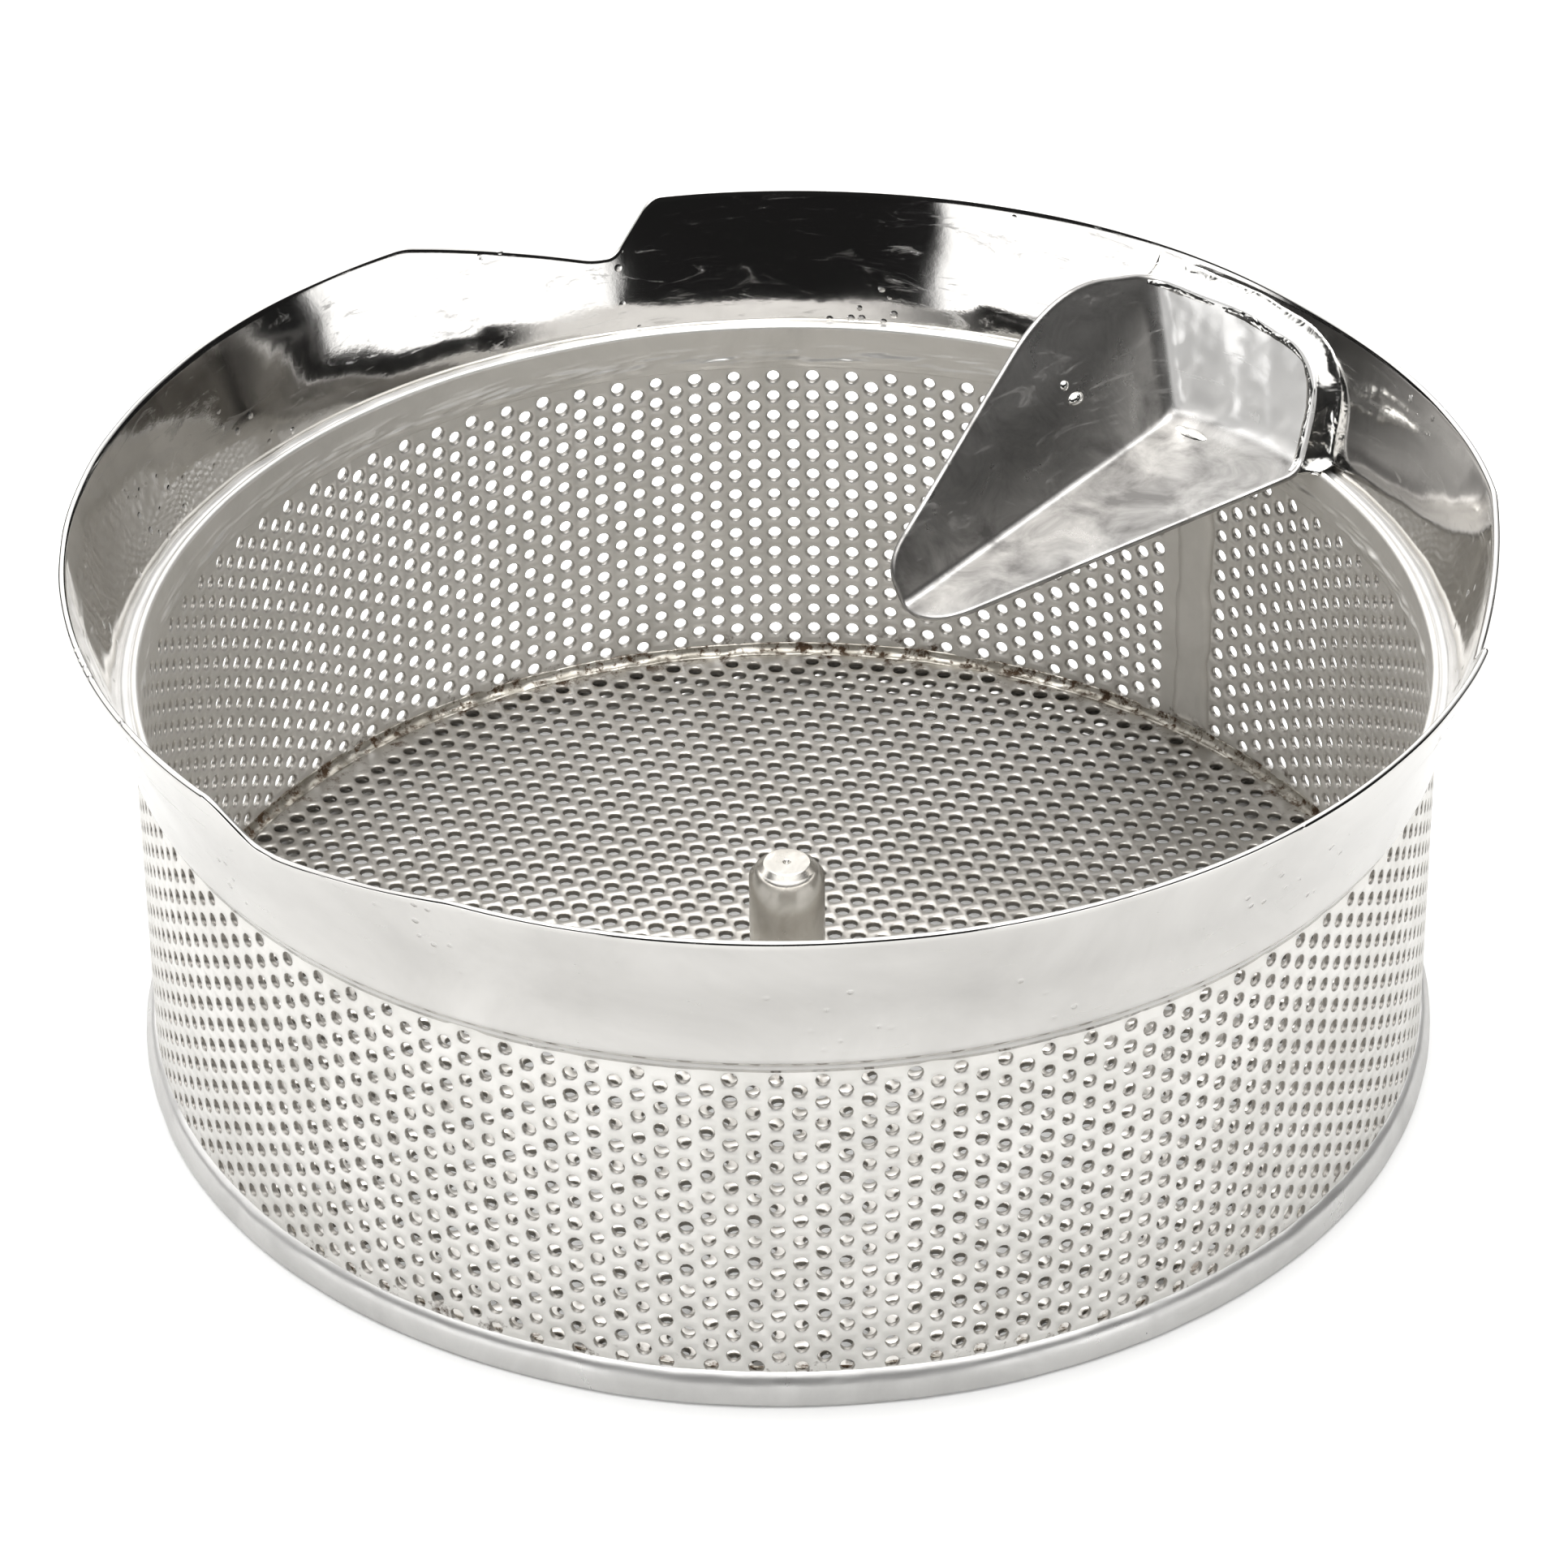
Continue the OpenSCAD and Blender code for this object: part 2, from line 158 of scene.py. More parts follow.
def punched_sheet(columns, rows, radii, place, wrap, ease, keep=None, shift=None):
    """A closed sheet punched with round holes in a hexagonal pattern.

    Lines one column apart cross steps half a pitch apart. A cell lies between two lines and
    over two steps, and every other column is half a pitch higher. A hole is a ring of 12
    points at (column + 0.5) * COLUMN, (step + 1) * PITCH / 2. Its edge is ease[0] mm wider at
    depth 0 and ease[1] mm wider at the back. radii(centres) gives each hole's radius, or 0 for
    a plain cell, and keep(centres) says which cells are there. shift(points) moves the corners
    of the cells in the flat sheet, and place(x, y, depth) puts the sheet where it belongs.
    With wrap, the last column is joined to the first."""
    steps = 2 * rows + 1
    lines = columns if wrap else columns + 1
    line, step = np.meshgrid(np.arange(lines), np.arange(steps + 1), indexing="ij")
    flat = np.stack([line.ravel() * COLUMN, step.ravel() * PITCH / 2], 1)
    if shift is not None:
        flat = shift(flat)
    count = len(flat)
    c, k = [a.ravel() for a in np.meshgrid(np.arange(columns), np.arange(rows), indexing="ij")]
    low = 2 * k + c % 2
    left, right = c * (steps + 1), (c + 1) % lines * (steps + 1)
    corners = np.stack([right + low + 1, right + low + 2, left + low + 2,
                        left + low + 1, left + low, right + low], 1)
    centre = np.stack([(c + 0.5) * COLUMN, (low + 1) * PITCH / 2], 1)
    radius = radii(centre)
    used = np.ones(len(c), bool) if keep is None else keep(centre)
    plain = corners[used & (radius <= 0)]
    holed = used & (radius > 0)
    cells, middle, rad = corners[holed], centre[holed], radius[holed]
    n = len(cells)
    angle = np.arange(RING) * TURN / RING
    out = np.stack([np.cos(angle), np.sin(angle)], 1)
    layers = [(ease[0], 0.0), (0.0, ease[0]), (0.0, SHEET - 0.8 * ease[1]), (ease[1], SHEET)]
    rings = [middle[:, None, :] + (rad[:, None, None] + wider) * out for wider, _ in layers]
    points = [place(flat[:, 0], flat[:, 1], 0 * flat[:, 0]),
              place(flat[:, 0], flat[:, 1], 0 * flat[:, 0] + SHEET)]
    for ring, (_, depth) in zip(rings, layers):
        points.append(place(ring[..., 0].ravel(), ring[..., 1].ravel(), np.full(n * RING, depth)))
    start = 2 * count + np.arange(n)[:, None] * RING
    on = [start + i * n * RING + np.arange(RING) for i in range(4)]
    nxt = (np.arange(RING) + 1) % RING

    def skirts(ring, cell):
        """Triangles between each hole's ring of points and the corners of its cell."""
        around = np.stack([ring, cell[:, RING_TO], ring[:, nxt]], -1).reshape(-1, 3)
        between = np.stack([cell, cell[:, (np.arange(6) + 1) % 6], ring[:, CELL_TO]], -1).reshape(-1, 3)
        return np.vstack([around, between])

    def fan(cell):
        """The four triangles of each cell without a hole."""
        return np.vstack([cell[:, [0, i, i + 1]] for i in range(1, 5)])

    # Half cells fill the columns' free ends where the sheet goes round
    halves = np.arange(columns if wrap else 0)
    if keep is not None:
        halves = halves[keep(np.stack([(halves + 0.5) * COLUMN, 0 * halves], 1))]
    base = np.where(halves % 2, 0, steps - 1)
    hl, hr = halves * (steps + 1) + base, (halves + 1) % lines * (steps + 1) + base
    half = np.vstack([np.stack([hl, hr, hr + 1], 1), np.stack([hl, hr + 1, hl + 1], 1)])
    face = np.vstack([skirts(on[0], cells), fan(plain), half])
    back = np.vstack([skirts(on[3], cells + count), fan(plain + count), half + count])[:, ::-1]
    # The sheet's outer edge: every edge of the face that no other triangle runs along
    edge = np.vstack([face[:, [0, 1]], face[:, [1, 2]], face[:, [2, 0]]])
    edge = edge[(edge < count).all(1)]
    key, rev = edge[:, 0] * 10**7 + edge[:, 1], edge[:, 1] * 10**7 + edge[:, 0]
    rim = edge[~np.isin(key, rev)]
    side = np.stack([rim[:, 1], rim[:, 0], rim[:, 0] + count, rim[:, 1] + count], 1)
    bores = [np.stack([a, a[:, nxt], b[:, nxt], b], -1).reshape(-1, 4) for a, b in zip(on[:3], on[1:])]
    quads = np.vstack([side] + bores)
    tris = np.vstack([face, back])
    points = np.vstack(points)
    live = np.zeros(len(points), bool)
    live[tris.ravel()] = live[quads.ravel()] = True
    number = np.cumsum(live) - 1
    return points[live], [number[tris], number[quads]]


# Materials ----------------------------------------------------------------------------


def linear(hex_code):
    """The linear colour of an sRGB hex value."""
    parts = np.array([int(hex_code[i:i + 2], 16) for i in (1, 3, 5)]) / 255
    low = parts <= 0.04045
    return (*np.where(low, parts / 12.92, ((parts + 0.055) / 1.055) ** 2.4), 1.0)


def add(tree, kind, inputs=None, stops=None, **settings):
    """Adds a node with its settings, its colour stops and its inputs: numbers or links."""
    made = tree.nodes.new(kind)
    for name, value in settings.items():
        setattr(made, name, value)
    if stops:
        ramp = made.color_ramp
        while len(ramp.elements) < len(stops):
            ramp.elements.new(0.5)
        for element, (at, colour) in zip(ramp.elements, stops):
            element.position, element.color = at, colour if len(colour) == 4 else (*colour * 3, 1)
    for socket, value in (inputs or {}).items():
        if isinstance(value, bpy.types.NodeSocket):
            tree.links.new(value, made.inputs[socket])
        else:
            made.inputs[socket].default_value = value
    return made


def tin(name, colour, dark, rough, patch_mm, grain_mm, grain, lump_mm=0.0, lump=0.0,
        pits=0.0, smears=0.0, brown=None, metallic=1.0, coat_and_painted_shade=None):
    """Hot-dipped tin: bright metal with cloudy patches, a fine grain and, where asked for,
    lumps, pits, rubbed smears, brown residue over heights or radii, and a second colour where
    an attribute of the mesh says so: its attribute, colour, share of the roughness and how
    metallic it is, if less than the rest. That second colour is painted shade in the hole
    bores of the punched sheets, and a tin coating on the deflector's tab."""
    mat = bpy.data.materials.new(name)
    mat.use_nodes = True
    tree = mat.node_tree
    shader = tree.nodes["Principled BSDF"]
    shader.inputs["Metallic"].default_value = metallic
    at = add(tree, "ShaderNodeTexCoord").outputs["Object"]
    cloud = add(tree, "ShaderNodeTexNoise", {"Vector": at, "Scale": 1000 / patch_mm, "Detail": 5.0,
                                             "Roughness": 0.62, "Distortion": 0.6}).outputs["Fac"]
    body = add(tree, "ShaderNodeValToRGB", {"Fac": cloud},
               stops=[(0.32, linear(dark)), (0.62, linear(colour))]).outputs["Color"]
    gloss = add(tree, "ShaderNodeMapRange", {"Value": cloud, "From Min": 0.3, "From Max": 0.7,
                                             "To Min": rough[1], "To Max": rough[0]}).outputs["Result"]
    fine = add(tree, "ShaderNodeTexNoise", {"Vector": at, "Scale": 1000 / grain_mm, "Detail": 3.0,
                                            "Roughness": 0.6}).outputs["Fac"]
    height = add(tree, "ShaderNodeBump", {"Height": fine, "Distance": grain * MM,
                                          "Strength": 1.0}).outputs["Normal"]
    if lump:
        knob = add(tree, "ShaderNodeTexNoise", {"Vector": at, "Scale": 1000 / lump_mm, "Detail": 2.0,
                                                "Distortion": 0.8}).outputs["Fac"]
        height = add(tree, "ShaderNodeBump", {"Height": knob, "Distance": lump * MM, "Strength": 1.0,
                                              "Normal": height}).outputs["Normal"]
    if pits:
        cell = add(tree, "ShaderNodeTexVoronoi", {"Vector": at, "Scale": 420.0,
                                                  "Randomness": 1.0}).outputs["Distance"]
        rare = add(tree, "ShaderNodeTexNoise", {"Vector": at, "Scale": 55.0, "Detail": 2.0}).outputs["Fac"]
        dot = add(tree, "ShaderNodeMapRange", {"Value": cell, "From Min": 0.1, "From Max": 0.26,
                                               "To Min": 1.0, "To Max": 0.0}).outputs["Result"]
        some = add(tree, "ShaderNodeMapRange", {"Value": rare, "From Min": 0.56,
                                                "From Max": 0.68}).outputs["Result"]
        pit = add(tree, "ShaderNodeMath", {0: dot, 1: some}, operation="MULTIPLY").outputs["Value"]
        height = add(tree, "ShaderNodeBump", {"Height": pit, "Distance": pits * MM, "Strength": 1.0,
                                              "Normal": height}).outputs["Normal"]
        gloss = add(tree, "ShaderNodeMath", {0: pit, 1: 0.5, 2: gloss},
                    operation="MULTIPLY_ADD").outputs["Value"]
    if smears:
        stretch = add(tree, "ShaderNodeMapping", {"Vector": at, "Rotation": (0.5, 0.3, 0.9),
                                                  "Scale": (1.0, 1.0, 5.0)}).outputs["Vector"]
        rub = add(tree, "ShaderNodeTexNoise", {"Vector": stretch, "Scale": 70.0, "Detail": 6.0,
                                               "Roughness": 0.7, "Distortion": 1.6}).outputs["Fac"]
        thin = add(tree, "ShaderNodeMapRange", {"Value": rub, "From Min": 0.56,
                                                "From Max": 0.68}).outputs["Result"]
        gloss = add(tree, "ShaderNodeMath", {0: thin, 1: smears, 2: gloss},
                    operation="MULTIPLY_ADD").outputs["Value"]
    if brown:
        axis, low, high, amount, size = brown
        if axis == "radius":
            flat = add(tree, "ShaderNodeVectorMath", {0: at, 1: (1, 1, 0)}, operation="MULTIPLY").outputs[0]
            far = add(tree, "ShaderNodeVectorMath", {0: flat}, operation="LENGTH").outputs["Value"]
        else:
            far = add(tree, "ShaderNodeSeparateXYZ", {0: at}).outputs["Z"]
        zone = add(tree, "ShaderNodeMapRange", {"Value": far, "From Min": low * MM,
                                                "From Max": high * MM}).outputs["Result"]
        spot = add(tree, "ShaderNodeTexNoise", {"Vector": at, "Scale": 1000 / size, "Detail": 4.0,
                                                "Roughness": 0.7}).outputs["Fac"]
        stain = add(tree, "ShaderNodeMapRange", {"Value": spot, "From Min": 0.62 - amount,
                                                 "From Max": 0.74 - amount}).outputs["Result"]
        stain = add(tree, "ShaderNodeMath", {0: zone, 1: stain}, operation="MULTIPLY").outputs["Value"]
        body = add(tree, "ShaderNodeMix", {"Factor": stain, "A": body, "B": linear("#5d4c3d")},
                   data_type="RGBA").outputs["Result"]
        gloss = add(tree, "ShaderNodeMath", {0: stain, 1: 0.35, 2: gloss},
                    operation="MULTIPLY_ADD").outputs["Value"]
    # Painted shade: the punched sheets' hole bores take the darker second colour here; on the deflector's tab
    # it is a real tin coating
    if coat_and_painted_shade:
        attribute, coat, part, metal = coat_and_painted_shade
        share = add(tree, "ShaderNodeAttribute", attribute_name=attribute).outputs["Fac"]
        body = add(tree, "ShaderNodeMix", {"Factor": share, "A": body, "B": linear(coat)},
                   data_type="RGBA").outputs["Result"]
        shine = add(tree, "ShaderNodeMath", {0: gloss, 1: part}, operation="MULTIPLY").outputs["Value"]
        gloss = add(tree, "ShaderNodeMix", {"Factor": share, "A": gloss, "B": shine}).outputs["Result"]
        if metal < metallic:
            share_of_metal = add(tree, "ShaderNodeMix", {"Factor": share, "A": metallic, "B": metal})
            tree.links.new(share_of_metal.outputs["Result"], shader.inputs["Metallic"])
    tree.links.new(body, shader.inputs["Base Color"])
    tree.links.new(gloss, shader.inputs["Roughness"])
    tree.links.new(height, shader.inputs["Normal"])
    return mat


# Tin over punched sheet: satin, pale and warm, brown where cooking residue sits at the foot, with painted
# shade darkening the hole bores
tinned_wall = tin("hot_dipped_tin_punched_wall", "#efede9", "#e0ded9", (0.3, 0.45), 18, 0.8, 0.012,
                  lump_mm=9, lump=0.05, smears=0.1, brown=("height", 8.0, 6.2, 0.05, 3.5), metallic=0.72,
                  coat_and_painted_shade=("bore", "#aeaaa4", 0.9, 1.0))
# The same tin on the plain band round the foot, a little cooler
tinned_band = tin("hot_dipped_tin_foot_band", "#e4e3e1", "#d4d3d1", (0.26, 0.42), 14, 0.8, 0.012,
                  lump_mm=7, lump=0.06, smears=0.12, metallic=0.72)
# The same sheet lying flat: a little greyer, with residue in the corner by the wall, and painted shade
# darkening the hole bores
tinned_base = tin("hot_dipped_tin_punched_base", "#cdcac5", "#aeaba5", (0.26, 0.42), 22, 0.9, 0.015,
                  lump_mm=12, lump=0.06, brown=("radius", 85.5, 89.0, 0.10, 3.0),
                  coat_and_painted_shade=("bore", "#98948d", 1.0, 1.0))
# Tin drained off a rolled collar: close to a mirror, with pits and wiped smears
bright_collar = tin("hot_dipped_tin_bright_collar", "#dedcd9", "#cfcdca", (0.03, 0.1), 30, 1.1, 0.004,
                    lump_mm=14, lump=0.05, pits=0.12, smears=0.22)
# Tin over a folded sheet that cooled slowly: dull grey with paler swirls
dull_deflector = tin("hot_dipped_tin_dull_deflector", "#bebcb9", "#7d7b79", (0.24, 0.4), 9, 0.7, 0.012,
                     lump_mm=14, lump=0.05, smears=0.25, coat_and_painted_shade=("tinned", "#f8f7f5", 0.6, 0.4))
# Thick solidified tin: lumpy and bright
thick_tin = tin("solidified_tin_solder", "#efeeea", "#d9d7d3", (0.07, 0.2), 9, 1.2, 0.02,
                lump_mm=3.2, lump=0.32)
# Tin in the corner of the basket, stained by residue
corner_tin = tin("solidified_tin_stained", "#bdb9b0", "#8f897e", (0.28, 0.5), 7, 0.8, 0.03,
                 lump_mm=2.5, lump=0.07, brown=("radius", 88.0, 90.2, 0.13, 2.0))
# Turned steel under a thin tin coat: fine and even
tinned_pin = tin("hot_dipped_tin_turned_pin", "#d8d5cf", "#c4c0b9", (0.16, 0.3), 6, 0.5, 0.01)


# The punched wall ---------------------------------------------------------------------

# Columns round the wall, holes in each, the first line's direction in degrees and the height
# of the pattern's foot
WALL_COLUMNS = 190
WALL_ROWS = 14
WALL_FIRST = -93.90
WALL_LOW = 4.21


def wall_place(x, y, depth):
    """Bends the flat sheet round the axis: x is the way round, y the height over its foot."""
    angle = (WALL_FIRST + x / COLUMN * 360 / WALL_COLUMNS) * DEG
    r = WALL_R - depth
    return np.stack([r * np.cos(angle), r * np.sin(angle), WALL_LOW + y], 1)


def wall_radii(centre):
    """Radius of each hole: slightly uneven, and none along the lap seam."""
    draw = np.random.default_rng(3)
    at = WALL_FIRST + centre[:, 0] / COLUMN * 360 / WALL_COLUMNS
    off = (at - SEAM_AT + 180) % 360 - 180
    radius = HOLE_R * (1 + 0.045 * draw.normal(size=len(at)).clip(-2, 2))
    return np.where(np.abs(off) < SEAM_BLANK, 0, radius)


def mark_points(piece, name, values):
    """Stores a number at each point of a piece, for its material."""
    piece.data.attributes.new(name, "FLOAT", "POINT").data.foreach_set("value", np.float32(values))


def mark_bores(piece, deep):
    """Marks the points inside a sheet's holes, by depth, for painted shade, and keeps the sheet's edges
    crisp.
    """
    mark_points(piece, "bore", (deep > 0.1) & (deep < SHEET - 0.1))
    piece.data.set_sharp_from_angle(angle=60 * DEG)


# Each half of the sheet is a closed piece of its own, for the size of the file
HALF = WALL_COLUMNS / 2 * COLUMN
for side, sign in (("right", -1), ("left", 1)):
    points, faces = punched_sheet(WALL_COLUMNS, WALL_ROWS, wall_radii, wall_place, True, (0.13, 0.36),
                                  keep=lambda c: (c[:, 0] - HALF) * sign > 0)
    piece = make_piece("punched_wall_" + side, points, faces, tinned_wall, ["side_wall"])
    deep = WALL_R - np.hypot(points[:, 0], points[:, 1])
    mark_bores(piece, deep)

# The plain top of the wall, above the holes, with tin run down inside it
ROUND = 1440
RUN_STEPS = 34
top_low = WALL_LOW + (2 * WALL_ROWS + 1) * PITCH / 2 - 0.05
angle = np.arange(ROUND) * TURN / ROUND
inner_z = np.concatenate([np.linspace(top_low, WALL_TOP - 0.5, RUN_STEPS), [WALL_TOP - 0.2]])
outer_z = np.array([WALL_TOP - 0.2, WALL_TOP - 0.5, 59.0, top_low])
profile_r = np.concatenate([np.full(RUN_STEPS, WALL_IN - 0.03), [WALL_IN + 0.12], [WALL_IN + 0.5],
                            [WALL_R - 0.1], [WALL_R], [WALL_R], [WALL_R]])
profile_z = np.concatenate([inner_z, [WALL_TOP], outer_z])
strip = turned(np.stack([profile_r, profile_z], 1), ROUND)
r, az = polar(strip[..., 0], strip[..., 1])
z = strip[..., 2]
inside = r < WALL_IN + 0.05
band = np.exp(-((z - top_low - 2.0) / 1.5) ** 2)
runs = waves(np.stack([az * 1.6, z * 6, 0 * z], -1), 16, 11)
runs2 = waves(np.stack([az * 1.6, z * 9, 0 * z], -1), 7, 12)
thicker = np.clip(0.34 * runs + 0.24 * runs2 + 0.12, 0, None) * band
thicker += 0.05 * (1 + waves(strip, 22, 5)) * step_up(z, top_low, top_low + 1)
thicker *= inside * step_up(z, top_low - 0.01, top_low + 0.6)
strip[..., :2] *= ((r - thicker) / r)[..., None]
make_piece("wall_top_strip", strip.reshape(-1, 3), [grid_faces(len(profile_r), ROUND, True, True)[:, ::-1]],
           tinned_wall, ["side_wall"])

# The band round the foot: out from the wall, round the heel and in under the base
heel = np.linspace(0, 90, 7) * DEG
HEEL = 0.9
band_profile = np.array(
    [[WALL_IN + 0.05, 4.1], [WALL_R - 0.1, 5.25], [WALL_R + 0.1, 5.15], [WALL_R + 0.5, 4.85],
     [BAND_R - 0.55, 4.3], [BAND_R - 0.22, 3.4], [BAND_R - 0.06, 2.3], [BAND_R, 1.3]]
    + [[BAND_R - HEEL + HEEL * np.cos(w), HEEL - HEEL * np.sin(w)] for w in heel]
    + [[88.5, 0.0], [84.4, 0.0], [84.1, 0.15], [84.0, 0.5], [84.1, 0.85], [84.4, 1.0], [WALL_IN + 0.05, 1.0]])
band_ring = turned(band_profile, RING_AROUND)
r = np.hypot(band_ring[..., 0], band_ring[..., 1])
swell = 0.10 * waves(band_ring, 30, 21) + 0.05 * waves(band_ring, 9, 22)
swell *= (band_ring[..., 2] > 0.4) & (r > WALL_R)
band_ring[..., :2] *= ((r + np.minimum(swell, BAND_R - r)) / r)[..., None]
make_piece("foot_band", band_ring.reshape(-1, 3),
           [grid_faces(len(band_profile), RING_AROUND, True, True)[:, ::-1]],
           tinned_band, ["side_wall"])

# The lap seam inside the wall: a soft-edged strip from the base to below the wall's top
across = np.linspace(-1, 1, 25)
along = np.linspace(0, 1, 60)
a, s = np.meshgrid(across, along)
half = 3.4 + 0.25 * np.sin(s * 21) + 0.15 * np.sin(s * 47)
lift = 1.02 * (1 - np.abs(a) ** 5) * step_up(s, 0, 0.03) * step_up(1 - s, 0, 0.03)
lift += 0.1 * waves(np.stack([a * 8, s * 50, 0 * s], -1), 6, 31) * (1 - a ** 2)
theta = (SEAM_AT * DEG) + a * half / WALL_IN
seam_r = WALL_IN + 0.04 - np.clip(lift, 0, None)
SEAM_LOW = 4.9
seam_z = SEAM_LOW + (WALL_TOP - 6 - SEAM_LOW) * s
front = np.stack([seam_r * np.cos(theta), seam_r * np.sin(theta), seam_z], -1)
rear = np.stack([(WALL_IN + 0.5) * np.cos(theta), (WALL_IN + 0.5) * np.sin(theta), seam_z], -1)
loop = np.concatenate([front, rear[:, ::-1]], 1)
n_along, n_loop = loop.shape[:2]
end_fan = np.stack([np.full(n_loop - 2, 0), np.arange(1, n_loop - 1), np.arange(2, n_loop)], 1)
ends = np.vstack([end_fan, ((n_along - 1) * n_loop + end_fan)[:, ::-1]])
make_piece("lap_seam", loop.reshape(-1, 3), [grid_faces(n_along, n_loop, False, True)[:, ::-1], ends],
           tinned_wall, ["side_wall"])

# The punched base ---------------------------------------------------------------------

# The disc's radius, how far out its holes go, the turn of its pattern, and the columns and
# rows that span it
BASE_EDGE = 90.6
HOLES_TO = 88.2
BASE_TURN = 18.5 * DEG
SPAN_C = 62
SPAN_R = 53
BASE_MID = np.array([SPAN_C / 2 * COLUMN, (SPAN_R + 0.5) * PITCH / 2])


def base_place(x, y, depth):
    """Centres the flat sheet on the axis and turns it to the direction of its rows."""
    x, y = x - BASE_MID[0], y - BASE_MID[1]
    return np.stack([x * np.cos(BASE_TURN) - y * np.sin(BASE_TURN),
                     x * np.sin(BASE_TURN) + y * np.cos(BASE_TURN), BASE_TOP - depth], 1)


def from_middle(xy):
    """Distance of points of the flat sheet from the axis."""
    return np.hypot(xy[:, 0] - BASE_MID[0], xy[:, 1] - BASE_MID[1])


def base_shift(xy):
    """Pulls points beyond the disc's edge in to it."""
    r = from_middle(xy)
    return BASE_MID + (xy - BASE_MID) * np.minimum(1, BASE_EDGE / np.maximum(r, 1e-6))[:, None]


def base_radii(centre):
    """Radius of each hole: slightly uneven, and none under the pin or by the wall."""
    draw = np.random.default_rng(4)
    r = from_middle(centre)
    radius = (HOLE_R + 0.03) * (1 + 0.04 * draw.normal(size=len(r)).clip(-2, 2))
    return np.where((r > HOLES_TO) | (r < PIN_R + 1.0), 0, radius)


for side, sign in (("left", -1), ("right", 1)):
    points, faces = punched_sheet(SPAN_C, SPAN_R, base_radii, base_place, False, (0.2, 0.2),
                                  shift=base_shift,
                                  keep=lambda c: (from_middle(c) < BASE_EDGE + 0.9)
                                  & ((c[:, 0] - BASE_MID[0]) * sign > 0))
    piece = make_piece("punched_base_" + side, points, faces, tinned_base, ["base_disc"])
    deep = BASE_TOP - points[:, 2]
    mark_bores(piece, deep)

# The tin in the corner between base and wall, thicker here and there
hollow = np.linspace(0, 90, 7) * DEG
corner = np.array([[WALL_IN + 0.1, BASE_TOP - 0.3], [WALL_IN + 0.1, BASE_TOP + 1.35]]
                  + [[WALL_IN - 1.45 + 1.4 * np.sin(w), BASE_TOP + 1.45 - 1.4 * np.cos(w)]
                     for w in hollow[::-1]]
                  + [[WALL_IN - 1.6, BASE_TOP - 0.3]])
ring = turned(corner, RING_AROUND)
r = np.hypot(ring[..., 0], ring[..., 1])
bulge = 0.16 * waves(ring * [1, 1, 0.3], 6, 41) + 0.09 * waves(ring, 2.6, 42) + 0.05
bulge *= (r < WALL_IN - 0.02) & (ring[..., 2] > BASE_TOP - 0.1)
ring[..., :2] *= ((r - bulge) / r)[..., None]
ring[..., 2] += np.clip(bulge, -0.2, 0.4) * (ring[..., 2] > BASE_TOP - 0.1)
make_piece("corner_tin", ring.reshape(-1, 3), [grid_faces(len(corner), RING_AROUND, True, True)],
           corner_tin, ["base_solder"])

# The centre pin -----------------------------------------------------------------------

under_z = box_mm("pivot_pin")[0][2]
washer_z = box_mm("pin_washer")[0][2]
pin_profile = np.array(
    [[0.05, PIN_TOP - 0.6], [0.3, PIN_TOP - 0.42], [0.52, PIN_TOP - 0.08], [0.62, PIN_TOP], [0.8, PIN_TOP],
     [3.25, PIN_TOP], [3.36, PIN_TOP - 0.02], [3.5, PIN_TOP - 0.14], [4.12, PIN_TOP - 0.78],
     [4.25, PIN_TOP - 0.9], [4.62, PIN_TOP - 1.12], [4.76, PIN_TOP - 1.5], [PIN_R, PIN_TOP - 2.4],
     [PIN_R, 14], [PIN_R, 8],
     [PIN_R, BASE_TOP + 1.4], [PIN_R + 0.12, BASE_TOP + 0.8], [PIN_R + 0.45, BASE_TOP + 0.35],
     [PIN_R + 1.1, BASE_TOP + 0.1], [PIN_R + 1.3, BASE_TOP - 0.2], [3.5, BASE_TOP - 0.3], [3.5, washer_z],
     [5.2, washer_z - 0.02], [5.3, washer_z - 0.3], [4.7, under_z + 0.25], [4.0, under_z + 0.02],
     [1.0, under_z]])
pin_rings = turned(pin_profile, 72)
points, faces = poled(pin_rings, [0, 0, PIN_TOP - 0.62], [0, 0, under_z])
make_piece("centre_pin", points, [f[:, ::-1] for f in faces], tinned_pin, ["pivot_pin"])

# The collar ---------------------------------------------------------------------------

# Radii of the middle of the collar's sheet at the skirt's foot, at the bend and at the rim
SKIRT_R, BEND_R, BEND_Z = WALL_R + 0.1 + HALF_SHEET, WALL_R + 1.6 + HALF_SHEET, WALL_TOP + 1.3
TOP_R = RIM_R - HALF_SHEET
# Each ramp's direction in degrees and its depth
RAMPS = [(113, 8.0), (-7, 7.0), (-127, 5.2)]


def ramp_drop(x, depth):
    """How far a ramp cuts into the rim at x mm clockwise of its middle: a long slope, a
    level foot and a steep end, with its corners rounded by averaging over 2.4 mm."""
    drop = 0
    for shift in np.linspace(-1.2, 1.2, 7):
        drop = drop + np.interp(x + shift, [-20.5, 10, 14, 20.5], [0, 1, 1, 0])
    return drop / 7 * depth


def rim_height(az):
    """Height of the rim's edge in each direction, with the ramps cut in."""
    height = np.full(az.shape, RIM_H)
    for at, depth in RAMPS:
        off = (az - at + 180) % 360 - 180
        x = -RIM_R * np.sin(off * DEG)
        height -= np.where(np.abs(off) < 60, ramp_drop(x, depth), 0)
    return height


